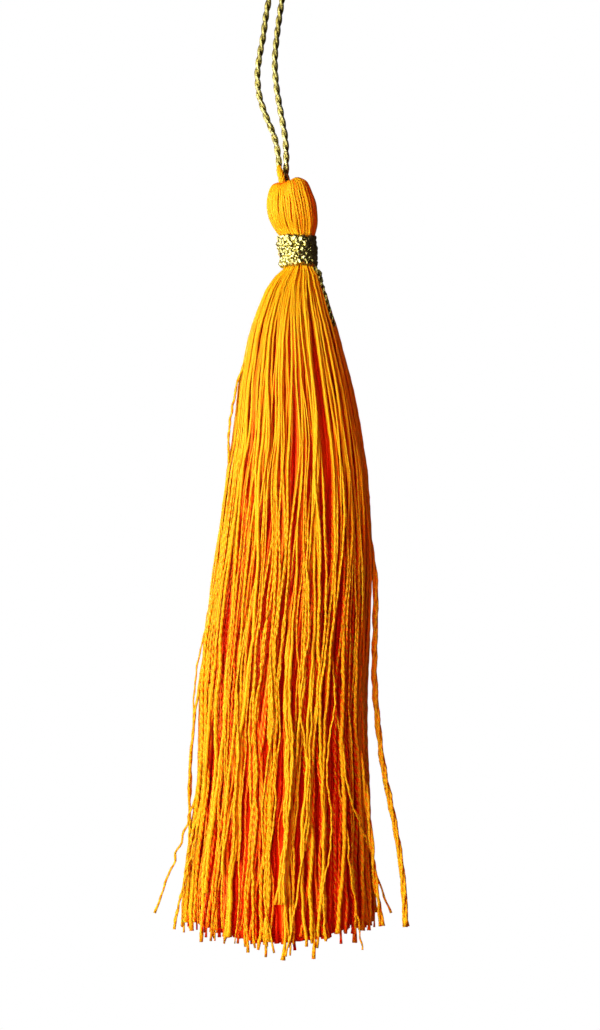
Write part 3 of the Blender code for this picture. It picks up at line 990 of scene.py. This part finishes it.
def build_loose(sections, material):
    """Threads that cross the others on the outside, and one flat lock on the front that is cut short."""
    rng = np.random.default_rng(51)
    steps = LOOSE_STEPS
    paths, radii, tones, refs = [], [], [], []
    for radius, tone, rows in LOOSE:
        line, turn = beside(sections, rows, steps)
        paths.append(line)
        refs.append(np.stack([np.cos(turn), np.sin(turn), np.zeros(steps)], 1))
        radii.append(np.full(steps, radius))
        tones.append(np.full(steps, tone))
    apart = smooth_curve(FLARED, steps)[:, 3]
    line, turn = beside(sections, [row[:3] for row in FLARED], steps)
    outward = np.stack([np.cos(turn), np.sin(turn), np.zeros(steps)], 1)
    aside = np.stack([-np.sin(turn), np.cos(turn), np.zeros(steps)], 1)
    for k in range(FLARED_THREADS):
        weave = 0.10 * np.sin(np.linspace(0, 7, steps) + 1.7 * k)
        across = (k - (FLARED_THREADS - 1) / 2) * apart + weave
        paths.append(line + across[:, None] * aside + 0.12 * (k % 2) * outward)
        refs.append(outward)
        radii.append(np.full(steps, FLARED_RADIUS))
        tones.append(np.full(steps, 1.08 - 0.05 * (k % 3)))
    paths, radii, tones, refs = (np.array(part) for part in (paths, radii, tones, refs))
    fall = np.broadcast_to(np.linspace(0, 1, steps), radii.shape)
    paths = paths + (waves(rng, fall, ((0.09, 7), (0.05, 15))))[..., None] * np.array([1.0, 0, 0])
    radii = radii * (1 + 0.35 * smoothstep(0.98, 1, fall)) * (1 + waves(rng, fall, ((0.06, 11),)))
    radii = radii * (0.2 + 0.8 * smoothstep(0.0, 0.10, fall))
    piece = threads("loose_threads", paths * MM, radii * MM, tones, refs, 8, flat=0.1, turn=1.3, crimp=0.7)
    finish_piece(piece, material, "silk_floss", "floss_hank")


# ---------------------------------------------------------------- the braid


BRAID_CYCLES = 5
BRAID_STEPS = 300
BRAID_STRANDS = 3
BRAID_STRAND_RADIUS = 0.50
BRAID_RISE = 0.58
BRAID_STAND = 0.20
# The last steps of a course lie over its first ones, so that it closes on itself.
BRAID_OVERLAP = 3
BAND_COURSES = (
    # drop, x of its middle, radius to the middle of its strands, phase
    (61.15, 1.80, 2.74, 0.3),
    (62.80, 1.95, 2.78, 2.0),
    (64.40, 2.13, 2.62, 4.1),
)


def build_band(material):
    """Three courses of flat three-strand braid, crinkled, each closed on itself round the neck."""
    steps = BRAID_STEPS
    turn = np.linspace(0, TAU * (1 + BRAID_OVERLAP / steps), steps)
    paths, refs, radii, tones = [], [], [], []
    for drop, x, middle, phase in BAND_COURSES:
        across = turn + phase
        outward = np.stack([np.cos(across), np.sin(across), np.zeros(steps)], -1)
        for strand in range(BRAID_STRANDS):
            weave = BRAID_CYCLES * turn + TAU * strand / BRAID_STRANDS + phase
            rise = BRAID_RISE * np.sin(weave) + 0.10 * np.sin(2 * across + phase)
            stand = BRAID_STAND * np.sin(2 * weave) + 0.05 * np.sin(5 * across + phase)
            radius = middle + stand
            paths.append(at(drop - rise, x + radius * np.cos(across), radius * np.sin(across)))
            refs.append(outward)
            crinkle = 1 + 0.10 * np.sin(29 * turn + strand + phase) + 0.08 * np.sin(47 * turn + 2 * strand)
            radii.append(BRAID_STRAND_RADIUS * crinkle * MM)
            tones.append(np.full(steps, 0.60))
    arrays = (np.array(part) for part in (paths, radii, tones, refs))
    braid = threads("neck_braid", *arrays, 12, flat=0.16, turn=2.0)
    finish_piece(braid, material, "gold_braid", "neck_band")


TAIL_STEPS = 60
# From the top of its CAD tube to where the drawn end starts, under the band, in mm.
TAIL_ROOT = (-0.95, 0.25, 1.2)


def build_tail(material):
    """The braid's loose end, two plies that thin out towards the tip."""
    line = middle_line("band_tail", 10)
    start = line[0] + np.array(TAIL_ROOT) * MM
    centre = smooth_curve(np.concatenate([start[None], line]) / MM, TAIL_STEPS) * MM
    paths, radii, refs = plies(centre, 0.23, 0.20, 2.6, 2)
    radii = radii * np.interp(np.linspace(0, 1, TAIL_STEPS), [0, 0.8, 1], [1, 0.9, 0.55])
    tail = threads("braid_end", paths, radii, np.full(radii.shape, 0.42), refs, 8, flat=0.15, turn=2.5)
    finish_piece(tail, material, "gold_braid", "band_tail")


# ---------------------------------------------------------------- all of it

add_camera()
build_cord()
add_lights()
add_world()
add_floor()
SECTIONS = rings_of("floss_hank", 40)
SECTIONS = SECTIONS[SECTIONS[:, 0] < CUT_DROP]
floss = floss_material("silk_floss")
build_tie(floss)
build_head(SECTIONS, floss)
build_head_core(SECTIONS)
for layer in LAYERS:
    build_layer(SECTIONS, floss, *layer)
build_core(SECTIONS)
build_strays(SECTIONS, floss)
build_loose(SECTIONS, floss)
braid = metal_material("braid_metal", 2.2, 0.28, 0.85, 0.9)
build_band(braid)
build_tail(braid)
